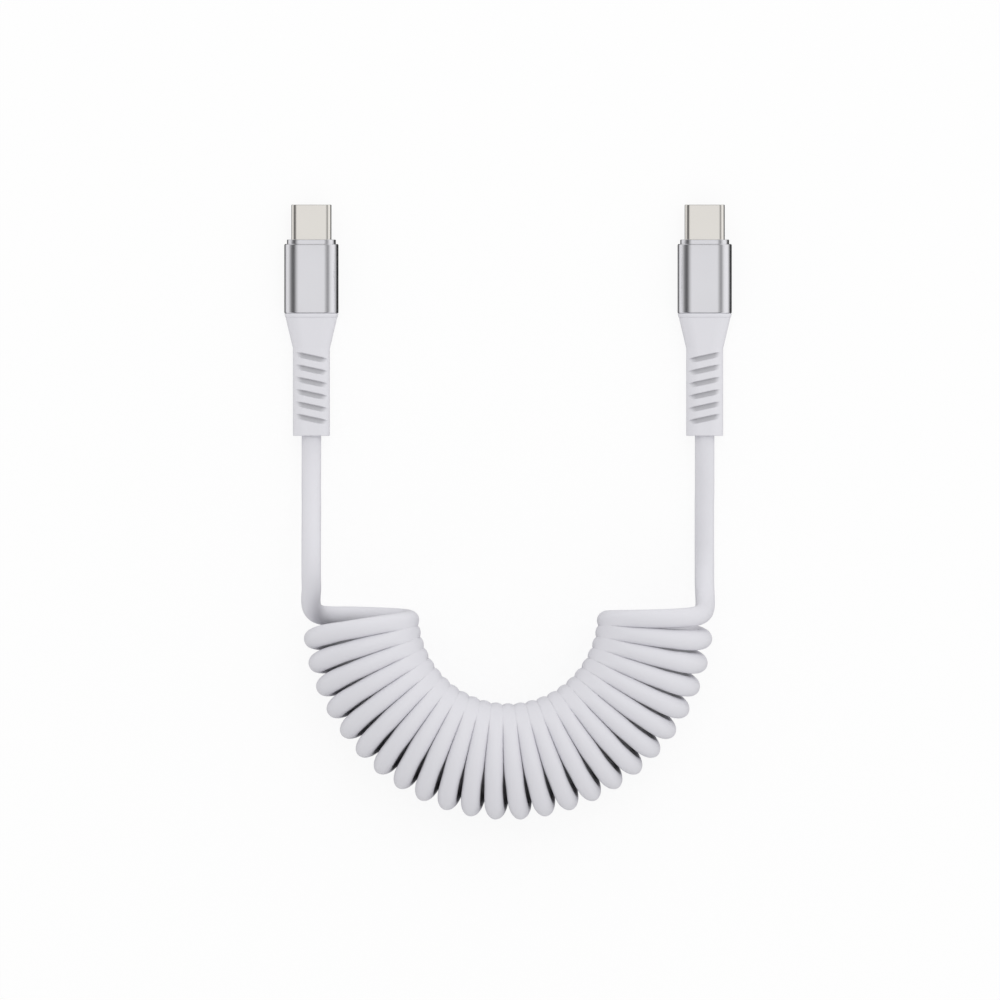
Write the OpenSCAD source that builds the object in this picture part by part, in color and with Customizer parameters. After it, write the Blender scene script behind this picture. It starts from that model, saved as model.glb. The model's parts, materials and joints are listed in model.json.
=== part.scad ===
// Coiled charging cable, a 24-contact reversible plug on each end.
// Millimetres, +Z up. The cable lies flat with both plugs pointing along +Y.
// The origin is midway between the plugs, on the surface they rest on.
// Each plug is drawn on its own axis, tip towards +Y, and then put in its place.

/* [Layout] */
// Distance between the axes of the two plugs
plug_spacing = 81; // [72:0.5:100]
// From the tail of the boots to the centre of the coil's bend
lead_span = 36.7; // [36:0.1:38]

/* [Cord] */
// Diameter of the cord's jacket
cord_d = 4; // [3.6:0.1:4.4]
// Outside diameter of the coil
coil_d = 24; // [20:0.5:30]
// Radius of the coil's bend, at the middle of its turns
coil_bend_r = 30.3; // [26:0.1:32]

/* [Plug shell] */
// Width of the drawn steel shell
shell_w = 8.25; // [8:0.05:9]
// Height of the shell
shell_h = 2.4; // [2.4:0.05:3]
// Wall of the shell
shell_wall = 0.25; // [0.2:0.01:0.3]
// Length of the shell in front of the collar
shell_reach = 7.2; // [6.65:0.05:8]
// Length of the shell held inside the plug
shell_hold = 4.8; // [4:0.1:6]

/* [Contact carrier] */
// Distance from the shell's edge back to the carrier
carrier_recess = 0.3; // [0.2:0.05:0.5]
// Depth of the mouth that takes the socket's tongue
mouth_depth = 6.4; // [5.8:0.1:6.6]
// Height of the mouth
mouth_h = 0.85; // [0.8:0.01:0.9]
// Plastic left between the mouth and the shell, at each side
mouth_side = 0.42; // [0.4:0.01:0.5]
// Number of contacts in a row
contact_count = 12; // [4:2:12]
// Distance from one contact to the next
contact_pitch = 0.5; // [0.45:0.01:0.5]
// Width of a contact
contact_w = 0.22; // [0.16:0.01:0.24]
// Thickness of a contact
contact_t = 0.12; // [0.08:0.01:0.12]
// Length of contact soldered to the board
solder_len = 1.6; // [1:0.1:2]
// Thickness of the latch spring's arms
latch_t = 0.2; // [0.15:0.01:0.22]
// Height of the latch spring's arms
latch_h = 0.5; // [0.4:0.02:0.56]
// Thickness of the ground springs
ground_t = 0.08; // [0.06:0.01:0.1]
// Width of the ground springs
ground_w = 5.6; // [5.2:0.1:5.8]
// Number of fingers on a ground spring
finger_count = 4; // [2:1:4]
// Width of a finger
finger_w = 0.5; // [0.3:0.05:0.6]

/* [Board] */
// Thickness of the circuit board
board_t = 0.8; // [0.6:0.05:0.9]
// Clearance from the board to the shield at each side
board_gap = 0.3; // [0.1:0.05:0.6]
// Side of the marker chip
chip_w = 2; // [1.5:0.1:2.5]
// Thickness of the marker chip
chip_t = 0.55; // [0.4:0.05:0.7]
// Length of a capacitor
capacitor_len = 0.6; // [0.4:0.1:0.8]
// Diameter of an insulated conductor
wire_d = 0.7; // [0.5:0.05:0.8]
// Length of conductor laid on the board
wire_lap = 1.5; // [1:0.1:2]

/* [Shield and ferrule] */
// Wall of the shield
shield_wall = 0.2; // [0.15:0.01:0.3]
// Height inside the shield
shield_room = 3.6; // [3.4:0.1:4]
// Length of the shield that grips the shell
shield_grip = 1.1; // [0.8:0.1:1.5]
// Wall of the crimped ferrule
ferrule_wall = 0.4; // [0.3:0.05:0.5]
// Length of the ferrule
ferrule_len = 3.6; // [3:0.1:4.5]

/* [Housing] */
// Wall of the inner moulding
mould_wall = 0.6; // [0.5:0.05:1]
// Thickness of the inner moulding behind the shield
mould_back = 0.8; // [0.6:0.1:1.2]
// Length of the collar in front of the sleeve
collar_step = 0.9; // [0.6:0.1:1.5]
// Length of the collar inside the sleeve
collar_hold = 1.5; // [1:0.1:1.8]
// Wall of the metal sleeve
sleeve_wall = 0.5; // [0.4:0.05:0.8]
// Length of the metal sleeve
sleeve_len = 14.3; // [13.5:0.1:18]
// Radius of the sleeve's outer corners
sleeve_corner = 3.1; // [2:0.1:3.1]

/* [Boot] */
// Length of the boot behind the sleeve
boot_len = 25.2; // [23:0.1:26]
// Length of the lip that matches the sleeve
boot_lip = 0.6; // [0.4:0.1:1.2]
// Length of the taper behind the lip
boot_taper = 6.6; // [5:0.1:8]
// Rubber beside the cord at the tail
boot_side = 1.75; // [1.5:0.05:2.2]
// Rubber above and below the cord at the tail
boot_face = 0.85; // [0.8:0.05:1]
// Distance from one relief slot to the next
slot_pitch = 2.5; // [2:0.1:4]
// Width of a relief slot
slot_w = 0.9; // [0.6:0.1:1.2]
// Depth of a relief slot
slot_depth = 0.6; // [0.3:0.05:0.7]
// Slant of the relief slots, in degrees
slot_slant = 10.5; // [0:0.5:15]
// Distance from the tail to the middle of the last slot
slot_tail = 4; // [3:0.1:5]

/* [Hidden] */

// Clearance between pieces that seat on each other
fit = 0.05;
// How far a cut runs past the face it opens
past = 0.5;
$fn = 48;

// Stations along the plug's axis, from the tip back
plug_len = shell_reach + collar_step + sleeve_len + boot_len;
tip_y = plug_len/2;
collar_y = tip_y - shell_reach;
sleeve_y = collar_y - collar_step;
boot_y = sleeve_y - sleeve_len;
tail_y = boot_y - boot_len;
shell_back_y = collar_y - shell_hold;
carrier_y = tip_y - carrier_recess;
mouth_back_y = carrier_y - mouth_depth;
collar_back_y = sleeve_y - collar_hold;
shield_front_y = shell_back_y + shield_grip;
shield_back_y = boot_y + mould_back;
wire_room = 1.25;
board_front_y = shell_back_y - fit;
board_back_y = shield_back_y + shield_wall + wire_room;

// Sections, each built out from the one inside it
carrier_w = shell_w - 2*shell_wall - 2*fit;
carrier_h = shell_h - 2*shell_wall - 2*fit;
mouth_w = carrier_w - 2*mouth_side;
shield_w = shell_w + 2*fit + 2*shield_wall;
shield_h = shield_room + 2*shield_wall;
shield_corner = 1.2;
board_w = shield_w - 2*shield_wall - 2*board_gap;
mould_w = shield_w + 2*fit + 2*mould_wall;
mould_h = shield_h + 2*fit + 2*mould_wall;
sleeve_w = mould_w + 2*fit + 2*sleeve_wall;
sleeve_h = mould_h + 2*fit + 2*sleeve_wall;
outer_corner = min(sleeve_corner, sleeve_h/2 - fit);
bore_corner = outer_corner - sleeve_wall;
mould_corner = bore_corner - fit;
cord_r = cord_d/2;
cord_bore_r = cord_r + fit;
ferrule_r = cord_bore_r + ferrule_wall;
boot_w = 2*cord_bore_r + 2*boot_side;
boot_h = 2*cord_bore_r + 2*boot_face;
boot_corner = 0.45*boot_h;
axis_z = sleeve_h/2;

// Contacts: the spring arm's line from its tip to the board, as distance behind the shell's edge and height
board_top = board_t/2;
contact_level = mouth_h/2 + 0.155;
contact_step_front = 1.5;
contact_step_back = 0.4;
contact_line = [
  [3.1, contact_level - 0.02],
  [3.8, mouth_h/2 - 0.005],
  [4.6, contact_level - 0.02],
  [tip_y - shell_back_y - contact_step_front, contact_level],
  [tip_y - shell_back_y - contact_step_back, board_top + contact_t/2],
  [tip_y - board_front_y + solder_len, board_top + contact_t/2]
];
groove_start = 2.9;
groove_w = contact_w + 2*fit;
groove_top = contact_level + contact_t/2 + fit;
groove_low = board_top - fit;

// Latch spring: two side arms on one crossbar
latch_x = mouth_w/2 + fit;
latch_start = 2.2;
latch_hook = 0.35;
latch_hook_len = 0.7;
latch_bar_offset = 3.6;
latch_bar_back = mouth_back_y - latch_bar_offset;
latch_bar_len = 1;
latch_bar_h = 0.2;

// Ground springs: a plate on each face of the carrier, with fingers that reach into the mouth
ground_start = 0.6;
ground_len = 3.8;
ground_level = carrier_h/2 - ground_t/2 - 0.02;
ground_seat = ground_level - ground_t/2 - 0.02;
finger_pitch = 1.4;
finger_line = [
  [2.85, ground_level],
  [2.5, ground_level - 0.03],
  [1.6, mouth_h/2 - 0.02],
  [1.15, mouth_h/2 + 0.08]
];
window_front = 1.0;
window_back = 2.75;

// Conductors: place across the cord's end, and place across the board, for the top and the bottom face
top_wires = [[-1, -2], [0, 0], [1, 2]];
bottom_wires = [[-0.6, -1.2], [0.6, 1.2]];
wire_start_z = 0.6;
wire_clear = 0.3;
wire_gather = 1.8;
wire_kink = 0.05;

// Boot: rubber left past each end of a slot, and the pivot of its bend, midway along the slots
slot_margin = 0.5;
boot_straight = boot_len - boot_lip - boot_taper;
slot_count = floor((boot_straight - slot_tail - 1.4)/slot_pitch) + 1;
slot_len = boot_w - 2*slot_margin;
flex_y = tail_y + slot_tail + (slot_count - 1)*slot_pitch/2;
flex_gap = 1;

// Coil: centre of its bend, and the ends of its turns
bend_y = tail_y - lead_span;
coil_end_y = bend_y + cord_r;
lead_x = coil_bend_r + coil_d/2 - cord_r;

// Routes of the leads from the boots' tails to the coil: distance from the middle, place along Y, height.
// The left one climbs and leaves the coil over its first turn, the right one lies low and leaves under the last.
left_route = [
  [40.5, -23.8, 3.2],
  [40.5, -26.5, 3.3],
  [40.5, -29, 3.7],
  [40.5, -32, 4.8],
  [40.5, -35, 6.5],
  [40.45, -38, 8.7],
  [40.45, -41, 11.1],
  [40.45, -44, 13.3],
  [40.45, -47, 14.9],
  [40.45, -50, 15.6],
  [40.45, -53, 15.2],
  [40.45, -56, 13.6]
];
right_route = [
  [40.5, -23.8, 3.2],
  [40.5, -26.5, 3.1],
  [40.5, -29, 2.9],
  [40.5, -32, 2.6],
  [40.5, -35, 2.3],
  [40.45, -38, 2.1],
  [40.45, -41, 2.1],
  [40.45, -44.5, 2.1],
  [40.45, -48, 2.3],
  [40.45, -51.9, 3.5],
  [40.45, -54.6, 5.2],
  [40.4, -56.7, 7.2]
];
// Where each lead meets the coil's end face: how far in from lead_x, and how far below the coil's middle
left_meeting = [0.1, 1.5];
right_meeting = [0.1, 2.4];
cord_sides = 12;

// --- Shared shapes ---

// Slot outline with full round ends
module stadium(w, h) {
  square([w - h, h], center = true);
  for (side = [-1, 1]) translate([side*(w - h)/2, 0]) circle(d = h);
}

// Rectangle with round corners
module round_box(w, h, r) {
  square([w - 2*r, h], center = true);
  square([w, h - 2*r], center = true);
  for (x = [-1, 1], y = [-1, 1]) translate([x*(w/2 - r), y*(h/2 - r)]) circle(r = r);
}

// Runs an outline, drawn in X and Z, from y0 forward to y1
module along(y0, y1) {
  translate([0, y1, 0]) rotate([90, 0, 0]) linear_extrude(y1 - y0) children();
}

// Round bar along Y from y0 to y1
module bar(y0, y1, r) {
  translate([0, y1, 0]) rotate([90, 0, 0]) cylinder(h = y1 - y0, r = r);
}

// Round bar between any two points
module rod(p, q, r) {
  run = q - p;
  flat = norm([run.x, run.y]);
  translate(p) rotate([0, atan2(flat, run.z), atan2(run.y, run.x)]) cylinder(h = norm(run), r = r, $fn = 24);
}

// Strip of sheet metal that follows a line of [distance behind the tip, height], w wide
module strip(line, t, w) {
  upper = [for (p = line) [tip_y - p[0], p[1] + t/2]];
  lower = [for (i = [len(line) - 1:-1:0]) [tip_y - line[i][0], line[i][1] - t/2]];
  translate([-w/2, 0, 0]) rotate([90, 0, 90]) linear_extrude(w) polygon(concat(upper, lower));
}

// Places across the plug of the contacts and of the ground springs' fingers
contact_xs = [for (i = [0:contact_count - 1]) (i - (contact_count - 1)/2)*contact_pitch];
finger_xs = [for (i = [0:finger_count - 1]) (i - (finger_count - 1)/2)*finger_pitch];

// --- Plug ---

module plug_shell() {
  color("#ded9cf") along(shell_back_y, tip_y) difference() {
    stadium(shell_w, shell_h);
    stadium(shell_w - 2*shell_wall, shell_h - 2*shell_wall);
  }
}

// Room for the contacts, the latch spring and the ground springs, cut out of the carrier
module carrier_cuts() {
  along(mouth_back_y, carrier_y + past) round_box(mouth_w, mouth_h, 0.2);
  for (x = contact_xs, face = [-1, 1]) {
    low = face > 0 ? groove_low : -groove_top;
    translate([x - groove_w/2, shell_back_y - past, low])
      cube([groove_w, tip_y - groove_start - shell_back_y + past, groove_top - groove_low]);
  }
  for (side = [-1, 1])
    translate([side*(latch_x - fit + past), (latch_bar_back + tip_y - latch_start)/2, 0])
      cube([2*past, tip_y - latch_start - latch_bar_back + 2*fit, latch_h + 2*fit], center = true);
  translate([0, latch_bar_back + latch_bar_len/2, 0])
    cube([carrier_w + past, latch_bar_len + 2*fit, latch_bar_h + 2*fit], center = true);
  for (face = [-1, 1]) {
    translate([0, tip_y - ground_start - ground_len/2, face*(ground_seat + past)])
      cube([ground_w + 2*fit, ground_len + 2*fit, 2*past], center = true);
    for (x = finger_xs)
      translate([x, tip_y - (window_front + window_back)/2, face*carrier_h/2])
        cube([finger_w + 2*fit, window_back - window_front + 2*fit, carrier_h], center = true);
  }
}

module contact_carrier() {
  color("#26262a") difference() {
    along(shell_back_y, carrier_y) stadium(carrier_w, carrier_h);
    carrier_cuts();
  }
}

module contact_row() {
  color("#c9a24a") for (x = contact_xs) translate([x, 0, 0]) strip(contact_line, contact_t, contact_w);
}

module upper_contacts() {
  contact_row();
}

module lower_contacts() {
  mirror([0, 0, 1]) contact_row();
}

module latch_spring() {
  color("#b9b9bd") {
    for (side = [-1, 1]) {
      translate([side*(latch_x + latch_t/2), (latch_bar_back + tip_y - latch_start)/2, 0])
        cube([latch_t, tip_y - latch_start - latch_bar_back, latch_h], center = true);
      translate([side*(latch_x + latch_t/2 - latch_hook/2), tip_y - latch_start - latch_hook_len/2, 0])
        cube([latch_t + latch_hook, latch_hook_len, latch_h], center = true);
    }
    translate([0, latch_bar_back + latch_bar_len/2, 0])
      cube([2*latch_x + latch_t, latch_bar_len, latch_bar_h], center = true);
  }
}

module ground_spring() {
  difference() {
    translate([0, tip_y - ground_start - ground_len/2, ground_level])
      cube([ground_w, ground_len, ground_t], center = true);
    for (x = finger_xs)
      translate([x, tip_y - (window_front + window_back)/2, ground_level])
        cube([finger_w + 2*fit, window_back - window_front, 2*past], center = true);
  }
  for (x = finger_xs) translate([x, 0, 0]) strip(finger_line, ground_t, finger_w);
}

module ground_springs() {
  color("#b9b9bd") {
    ground_spring();
    mirror([0, 0, 1]) ground_spring();
  }
}

module circuit_board() {
  color("#1f6b3c") translate([-board_w/2, board_back_y, -board_t/2])
    cube([board_w, board_front_y - board_back_y, board_t]);
}

// Stations of the parts on the board, between the contacts' tails and the conductors
parts_y = (board_front_y - solder_len + board_back_y + wire_lap)/2;
capacitor_offset = 0.8;

module marker_chip() {
  color("#2b2b2e") translate([-chip_w/2, parts_y - chip_w/2, board_top]) cube([chip_w, chip_w, chip_t]);
}

module capacitors() {
  color("#b08d57") for (side = [-1, 1], row = [-1, 1])
    translate([side*(chip_w/2 + capacitor_offset), parts_y + row*0.5, board_top + capacitor_len/4])
      cube([capacitor_len, capacitor_len/2, capacitor_len/2], center = true);
}

// A conductor starts in front of the cord's end at x = from, and is laid on the board at x = to.
// The ball at its bend has its seam turned away from both rods.
module conductor(from, to) {
  wire_r = wire_d/2;
  lie_z = board_top + wire_r + wire_kink;
  start = [from, cord_front_y + wire_clear, wire_start_z];
  bend = [to, cord_front_y + wire_gather, lie_z];
  rod(start, bend, wire_r);
  translate(bend) rotate([0, 0, to < 0 ? 180 : 0]) sphere(r = wire_r + wire_kink);
  rod(bend, [to, board_back_y + wire_lap, lie_z], wire_r);
}

module conductors() {
  color("#c23b2e") {
    for (wire = top_wires) conductor(wire[0], wire[1]);
    mirror([0, 0, 1]) for (wire = bottom_wires) conductor(wire[0], wire[1]);
  }
}

// Stamped shield around the board, before it is split into its two halves
module shield_body() {
  difference() {
    along(shield_back_y, shield_front_y) round_box(shield_w, shield_h, shield_corner);
    along(shield_back_y + shield_wall, shell_back_y + past)
      round_box(shield_w - 2*shield_wall, shield_room, shield_corner - shield_wall);
    along(shell_back_y, shield_front_y + past) stadium(shell_w + 2*fit, shell_h + 2*fit);
    bar(shield_back_y - past, shield_back_y + past, cord_r - 0.3);
  }
}

module shield_half(face) {
  color("#c4c4c8") intersection() {
    shield_body();
    translate([-shield_w, shield_back_y - past, face > 0 ? 0 : -shield_h])
      cube([2*shield_w, shield_front_y - shield_back_y + 2*past, shield_h]);
  }
}

module shield_top() {
  shield_half(1);
}

module shield_bottom() {
  shield_half(-1);
}

// The ferrule ends against the shield, and the cord inside it ends flush
ferrule_front_y = shield_back_y - fit;
ferrule_back_y = ferrule_front_y - ferrule_len;
cord_front_y = ferrule_front_y;

module crimp_ferrule() {
  color("#a9a9ae") difference() {
    bar(ferrule_back_y, ferrule_front_y, ferrule_r);
    bar(ferrule_back_y - past, ferrule_front_y + past, cord_bore_r);
  }
}

module inner_moulding() {
  color("#d9dde0") difference() {
    along(boot_y, collar_back_y - fit) round_box(mould_w, mould_h, mould_corner);
    along(shield_back_y - fit, shield_front_y + fit)
      round_box(shield_w + 2*fit, shield_h + 2*fit, shield_corner + fit);
    along(shield_front_y - past, collar_back_y + past) stadium(shell_w + 2*fit, shell_h + 2*fit);
    bar(boot_y - past, shield_back_y + past, ferrule_r + fit);
  }
}

module front_collar() {
  color("#b4b4ba") difference() {
    along(collar_back_y, collar_y) round_box(mould_w, mould_h, mould_corner);
    along(collar_back_y - past, collar_y + past) stadium(shell_w + 2*fit, shell_h + 2*fit);
  }
}

module housing_sleeve() {
  color("#c9c9ce") along(boot_y, sleeve_y) difference() {
    round_box(sleeve_w, sleeve_h, outer_corner);
    round_box(sleeve_w - 2*sleeve_wall, sleeve_h - 2*sleeve_wall, bore_corner);
  }
}

// Slanted relief slot cut across one face of the boot, centred on y
module relief_slot(y, face) {
  translate([0, y, face*(boot_h/2 - slot_depth + past)]) rotate([0, 0, -slot_slant]) {
    cube([slot_len - slot_w, slot_w, 2*past], center = true);
    for (side = [-1, 1]) translate([side*(slot_len - slot_w)/2, 0, 0])
      cylinder(h = 2*past, d = slot_w, center = true);
  }
}

module strain_relief() {
  taper_y = boot_y - boot_lip;
  straight_y = taper_y - boot_taper;
  sheet = 0.01;
  lip_step = 0.15;
  color("#e4e4ea") difference() {
    union() {
      along(taper_y, boot_y) round_box(sleeve_w, sleeve_h, outer_corner);
      hull() {
        along(taper_y - sheet, taper_y)
          round_box(sleeve_w - 2*lip_step, sleeve_h - 2*lip_step, outer_corner - lip_step, $fn = 32);
        along(straight_y, straight_y + sheet) round_box(boot_w, boot_h, boot_corner, $fn = 32);
      }
      along(tail_y, straight_y + sheet) round_box(boot_w, boot_h, boot_corner);
    }
    bar(tail_y - past, boot_y + past, cord_bore_r);
    bar(ferrule_back_y - fit, boot_y + past, ferrule_r + fit);
    for (i = [0:slot_count - 1], face = [-1, 1]) relief_slot(tail_y + slot_tail + i*slot_pitch, face);
  }
}

// The front end of the cord, from the middle of the boot's bend to the shield
module cord_end() {
  color("#e9e9ee") bar(flex_y + flex_gap, cord_front_y, cord_r);
}

module left_side() {
  translate([-plug_spacing/2, 0, axis_z]) children();
}

// The right-hand plug lies the other face up
module right_side() {
  translate([plug_spacing/2, 0, axis_z]) rotate([0, 180, 0]) children();
}

// --- Cord ---

// Direction of travel at point i of a route, square to Y at both ends
function travel(route, i) =
  i == 0 || i == len(route) - 1 ? [0, -1, 0] :
  (route[i + 1] - route[i - 1])/norm(route[i + 1] - route[i - 1]);

// Ring of points around point i of a route
function ring(route, i) =
  let (t = travel(route, i), across = cross(t, [0, 0, 1])/norm(cross(t, [0, 0, 1])), up = cross(across, t))
  [for (k = [0:cord_sides - 1])
    let (a = 360*(k + 0.5)/cord_sides) route[i] + cord_r*(cos(a)*across + sin(a)*up)];

// Tube swept along a route
module swept_cord(route) {
  rings = len(route);
  points = [for (i = [0:rings - 1]) each ring(route, i)];
  walls = [for (i = [0:rings - 2], k = [0:cord_sides - 1])
    let (next = (k + 1) % cord_sides)
    [i*cord_sides + next, i*cord_sides + k, (i + 1)*cord_sides + k, (i + 1)*cord_sides + next]];
  start_cap = [for (k = [0:cord_sides - 1]) k];
  end_cap = [for (k = [cord_sides - 1:-1:0]) (rings - 1)*cord_sides + k];
  polyhedron(points = points, faces = concat(walls, [start_cap, end_cap]));
}

// A lead: from inside the boot, along its route, to the coil's end face
module lead(side, route, meeting) {
  inside = [[plug_spacing/2, flex_y - flex_gap, axis_z]];
  at_coil = [[lead_x - meeting[0], coil_end_y, coil_d/2 - meeting[1]]];
  color("#e9e9ee") swept_cord([for (p = concat(inside, route, at_coil)) [side*p.x, p.y, p.z]]);
}

module left_lead() {
  lead(-1, left_route, left_meeting);
}

module right_lead() {
  lead(1, right_route, right_meeting);
}

// The wound stretch of the cord, as the plain outer shape of its turns
module coil() {
  color("#e9e9ee") translate([0, bend_y, coil_d/2]) {
    rotate([0, 0, 180]) rotate_extrude(angle = 180, $fn = 96) translate([coil_bend_r, 0]) circle(d = coil_d);
    for (side = [-1, 1]) translate([side*coil_bend_r, 0, 0]) bar(0, cord_r, coil_d/2);
  }
}

coil();
left_lead();
right_lead();

left_side() plug_shell();  // left_plug_shell
left_side() contact_carrier();  // left_contact_carrier
left_side() upper_contacts();  // left_upper_contacts
left_side() lower_contacts();  // left_lower_contacts
left_side() latch_spring();  // left_latch_spring
left_side() ground_springs();  // left_ground_springs
left_side() circuit_board();  // left_circuit_board
left_side() marker_chip();  // left_marker_chip
left_side() capacitors();  // left_capacitors
left_side() conductors();  // left_conductors
left_side() shield_top();  // left_shield_top
left_side() shield_bottom();  // left_shield_bottom
left_side() crimp_ferrule();  // left_crimp_ferrule
left_side() inner_moulding();  // left_inner_moulding
left_side() front_collar();  // left_front_collar
left_side() housing_sleeve();  // left_housing_sleeve
left_side() strain_relief();  // left_strain_relief
left_side() cord_end();  // left_cord_end

right_side() plug_shell();  // right_plug_shell
right_side() contact_carrier();  // right_contact_carrier
right_side() upper_contacts();  // right_upper_contacts
right_side() lower_contacts();  // right_lower_contacts
right_side() latch_spring();  // right_latch_spring
right_side() ground_springs();  // right_ground_springs
right_side() circuit_board();  // right_circuit_board
right_side() marker_chip();  // right_marker_chip
right_side() capacitors();  // right_capacitors
right_side() conductors();  // right_conductors
right_side() shield_top();  // right_shield_top
right_side() shield_bottom();  // right_shield_bottom
right_side() crimp_ferrule();  // right_crimp_ferrule
right_side() inner_moulding();  // right_inner_moulding
right_side() front_collar();  // right_front_collar
right_side() housing_sleeve();  // right_housing_sleeve
right_side() strain_relief();  // right_strain_relief
right_side() cord_end();  // right_cord_end
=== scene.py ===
"""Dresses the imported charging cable: coiled cord, boots, metal plugs, their finishes and the stage."""

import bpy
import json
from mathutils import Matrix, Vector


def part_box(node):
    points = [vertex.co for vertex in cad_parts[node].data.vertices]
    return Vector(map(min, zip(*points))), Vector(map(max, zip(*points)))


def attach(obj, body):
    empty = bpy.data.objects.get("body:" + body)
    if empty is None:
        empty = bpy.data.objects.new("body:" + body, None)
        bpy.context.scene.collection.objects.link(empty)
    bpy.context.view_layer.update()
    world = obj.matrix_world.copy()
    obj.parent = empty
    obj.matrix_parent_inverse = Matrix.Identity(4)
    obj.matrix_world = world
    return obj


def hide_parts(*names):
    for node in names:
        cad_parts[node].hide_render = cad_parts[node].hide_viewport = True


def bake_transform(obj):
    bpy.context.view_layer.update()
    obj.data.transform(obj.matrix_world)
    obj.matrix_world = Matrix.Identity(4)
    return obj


bl_info = {
    "name": "Coiled Charging Cable",
    "version": (1, 0, 0),
    "blender": (4, 5, 0),
    "location": "View3D > Sidebar > Cable",
    "description": "Builds the visible pieces of a coiled charging cable round its frame",
    "category": "Add Mesh",
}

import json
import math

import bmesh
import bpy
import numpy as np
from bpy.props import FloatProperty, FloatVectorProperty, IntProperty, PointerProperty
from bpy.types import Operator, Panel, PropertyGroup
from mathutils import Vector

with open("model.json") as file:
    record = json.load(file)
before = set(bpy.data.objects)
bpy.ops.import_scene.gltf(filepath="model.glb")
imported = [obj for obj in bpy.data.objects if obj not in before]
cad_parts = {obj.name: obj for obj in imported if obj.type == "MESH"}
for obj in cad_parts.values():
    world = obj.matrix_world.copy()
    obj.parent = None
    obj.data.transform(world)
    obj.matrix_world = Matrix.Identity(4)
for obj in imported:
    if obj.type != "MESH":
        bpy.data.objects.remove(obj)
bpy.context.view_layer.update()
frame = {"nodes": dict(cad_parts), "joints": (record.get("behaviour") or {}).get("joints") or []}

MM = 0.001
SIDES = {"left": -1, "right": 1}

# The leads' routes, from the boots' tails to where they turn into the coil. Each point is its distance from
# the middle, its Y and its height.
LEAD_ROUTES = {
    "left": [
        (0.0405, -0.0238, 0.0032),
        (0.0405, -0.0265, 0.0033),
        (0.0405, -0.029, 0.0037),
        (0.0405, -0.032, 0.0048),
        (0.0405, -0.035, 0.0065),
        (0.04045, -0.038, 0.0087),
        (0.04045, -0.041, 0.0111),
        (0.04045, -0.044, 0.0133),
        (0.04045, -0.047, 0.0149),
        (0.04045, -0.05, 0.0156),
        (0.04045, -0.053, 0.0152),
        (0.04045, -0.056, 0.0136),
    ],
    "right": [
        (0.0405, -0.0238, 0.0032),
        (0.0405, -0.0265, 0.0031),
        (0.0405, -0.029, 0.0029),
        (0.0405, -0.032, 0.0026),
        (0.0405, -0.035, 0.0023),
        (0.04045, -0.038, 0.0021),
        (0.04045, -0.041, 0.0021),
        (0.04045, -0.0445, 0.0021),
        (0.04045, -0.048, 0.0023),
        (0.04045, -0.0519, 0.0035),
    ],
}
# How each lead turns into the coil: its heading at the route's end, the winding angle that it meets, and its
# pull at the lead and at the coil
CORNERS = {
    "left": ((0.122, -1, -0.762), math.radians(87.1), 0.0075, 0.0074),
    "right": ((-0.02, -1, 0.5), math.radians(60.6), 0.0093, 0.008),
}


# --- Sizes and colours that a user would change ---

class CordSettings(PropertyGroup):
    diameter: FloatProperty(name="Diameter", description="Diameter of the cord's jacket",
                            default=0.004, unit="LENGTH", precision=4)
    coil_diameter: FloatProperty(name="Coil diameter", description="Outside diameter of the coil",
                                 default=0.024, unit="LENGTH", precision=4)
    bend_radius: FloatProperty(name="Bend radius", description="Radius of the bend, at the turns' middle",
                               default=0.0303, unit="LENGTH", precision=4)
    turns: IntProperty(name="Turns", description="Turns in the coil", default=25, min=3)
    colour: FloatVectorProperty(name="Jacket", description="Colour of the cord's jacket",
                                default=(0.73, 0.725, 0.765), subtype="COLOR", size=3)


class BootSettings(PropertyGroup):
    slot_pitch: FloatProperty(name="Slot pitch", description="Distance from one relief slot to the next",
                              default=0.00254, unit="LENGTH", precision=4)
    slot_width: FloatProperty(name="Slot width", description="Width of a relief slot",
                              default=0.00085, unit="LENGTH", precision=4)
    slot_depth: FloatProperty(name="Slot depth", description="Depth of a relief slot",
                              default=0.0006, unit="LENGTH", precision=4)
    slot_slant: FloatProperty(name="Slot slant", description="Slant of the relief slots",
                              default=math.radians(12.3), subtype="ANGLE")
    slots: IntProperty(name="Slots", description="Relief slots on each face", default=6, min=1)
    colour: FloatVectorProperty(name="Boot", description="Colour of the boot's rubber",
                                default=(0.745, 0.74, 0.78), subtype="COLOR", size=3)


class PlugSettings(PropertyGroup):
    sleeve_colour: FloatVectorProperty(name="Sleeve", description="Colour of the satin sleeve",
                                       default=(0.82, 0.815, 0.85), subtype="COLOR", size=3)
    shell_colour: FloatVectorProperty(name="Shell", description="Colour of the nickel-plated shell",
                                      default=(0.86, 0.83, 0.785), subtype="COLOR", size=3)


class StageSettings(PropertyGroup):
    frame_width: FloatProperty(name="Frame width", description="Width that the camera takes in",
                               default=0.2061, unit="LENGTH", precision=4)
    camera_height: FloatProperty(name="Camera height", description="Height of the camera over the floor",
                                 default=5.0, unit="LENGTH")
    key_power: FloatProperty(name="Key", description="Power of the overhead softbox", default=2.4,
                             unit="POWER")
    fill: FloatProperty(name="Fill", description="Strength of the room's even light", default=0.835)


# --- Outlines ---

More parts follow.
